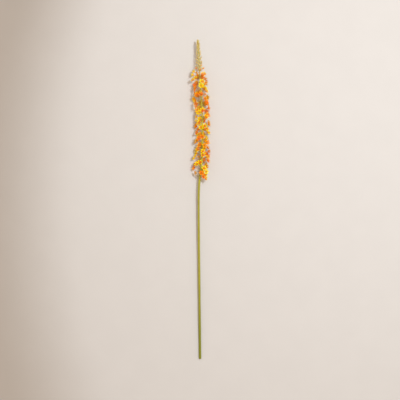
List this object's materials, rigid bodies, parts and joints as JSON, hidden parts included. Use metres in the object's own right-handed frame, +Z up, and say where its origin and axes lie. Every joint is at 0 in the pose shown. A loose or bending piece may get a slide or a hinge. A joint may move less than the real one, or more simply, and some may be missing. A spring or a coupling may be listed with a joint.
{
  "type": "foxtail lily flower spike",
  "caption": "Cut foxtail lily stem lying flat: a bare green stalk with a long spike of small six-petalled orange flowers and a tip of closed green buds.",
  "frame": {"origin": "on the table, under the middle of the lying stem's bounding box", "axes": "+Y along the stem from the cut end to the bud tip, +X to the right of it, +Z up from the table"},
  "size_m": [0.0687, 1.1008, 0.0635],
  "materials": {
    "stalk_green": "smooth fresh plant skin, slightly waxy",
    "petal_orange": "soft satin petal",
    "petal_yellow": "soft satin petal",
    "petal_red": "soft satin petal",
    "bud_orange": "smooth satin bud"
  },
  "bodies": {
    "root": {"flower_stalk": "stalk_green", "bloom_pair_01": "petal_yellow", "bloom_pair_02": "petal_red", "bloom_pair_03": "petal_orange", "bloom_pair_04": "petal_yellow", "bloom_pair_05": "petal_red", "bloom_pair_06": "petal_orange", "bloom_pair_07": "petal_yellow", "bloom_pair_08": "petal_red", "bloom_pair_09": "petal_orange", "bloom_pair_10": "petal_yellow", "bloom_pair_11": "petal_red", "bloom_pair_12": "petal_orange", "bloom_pair_13": "petal_yellow", "bloom_pair_14": "petal_red", "bloom_pair_15": "petal_orange", "bloom_pair_16": "petal_yellow", "bloom_pair_17": "petal_red", "bloom_pair_18": "petal_orange", "bloom_pair_19": "petal_yellow", "bloom_pair_20": "petal_red", "bloom_pair_21": "petal_orange", "bloom_pair_22": "petal_yellow", "bloom_pair_23": "petal_red", "bloom_pair_24": "petal_orange", "bloom_pair_25": "petal_yellow", "bloom_pair_26": "petal_red", "bloom_pair_27": "petal_orange", "bloom_pair_28": "petal_yellow", "bloom_pair_29": "petal_red", "bloom_pair_30": "petal_orange", "bloom_pair_31": "petal_yellow", "bloom_pair_32": "petal_red", "bloom_pair_33": "petal_orange", "bloom_pair_34": "petal_yellow", "bloom_pair_35": "petal_red", "bloom_pair_36": "petal_orange", "bloom_pair_37": "petal_yellow", "bloom_pair_38": "petal_red", "bloom_pair_39": "petal_orange", "bloom_pair_40": "petal_yellow", "bloom_pair_41": "petal_red", "bloom_pair_42": "petal_orange", "bloom_pair_43": "petal_yellow", "bloom_pair_44": "petal_red", "bloom_pair_45": "petal_orange", "bloom_pair_46": "petal_yellow", "bloom_pair_47": "petal_red", "bloom_pair_48": "petal_orange", "bloom_pair_49": "petal_yellow", "bloom_pair_50": "petal_red", "bloom_pair_51": "petal_orange", "bloom_pair_52": "petal_yellow", "large_bud_1": "bud_orange", "large_bud_2": "bud_orange", "large_bud_3": "bud_orange", "large_bud_4": "bud_orange", "large_bud_5": "bud_orange", "large_bud_6": "bud_orange"}
  },
  "joints": []
}
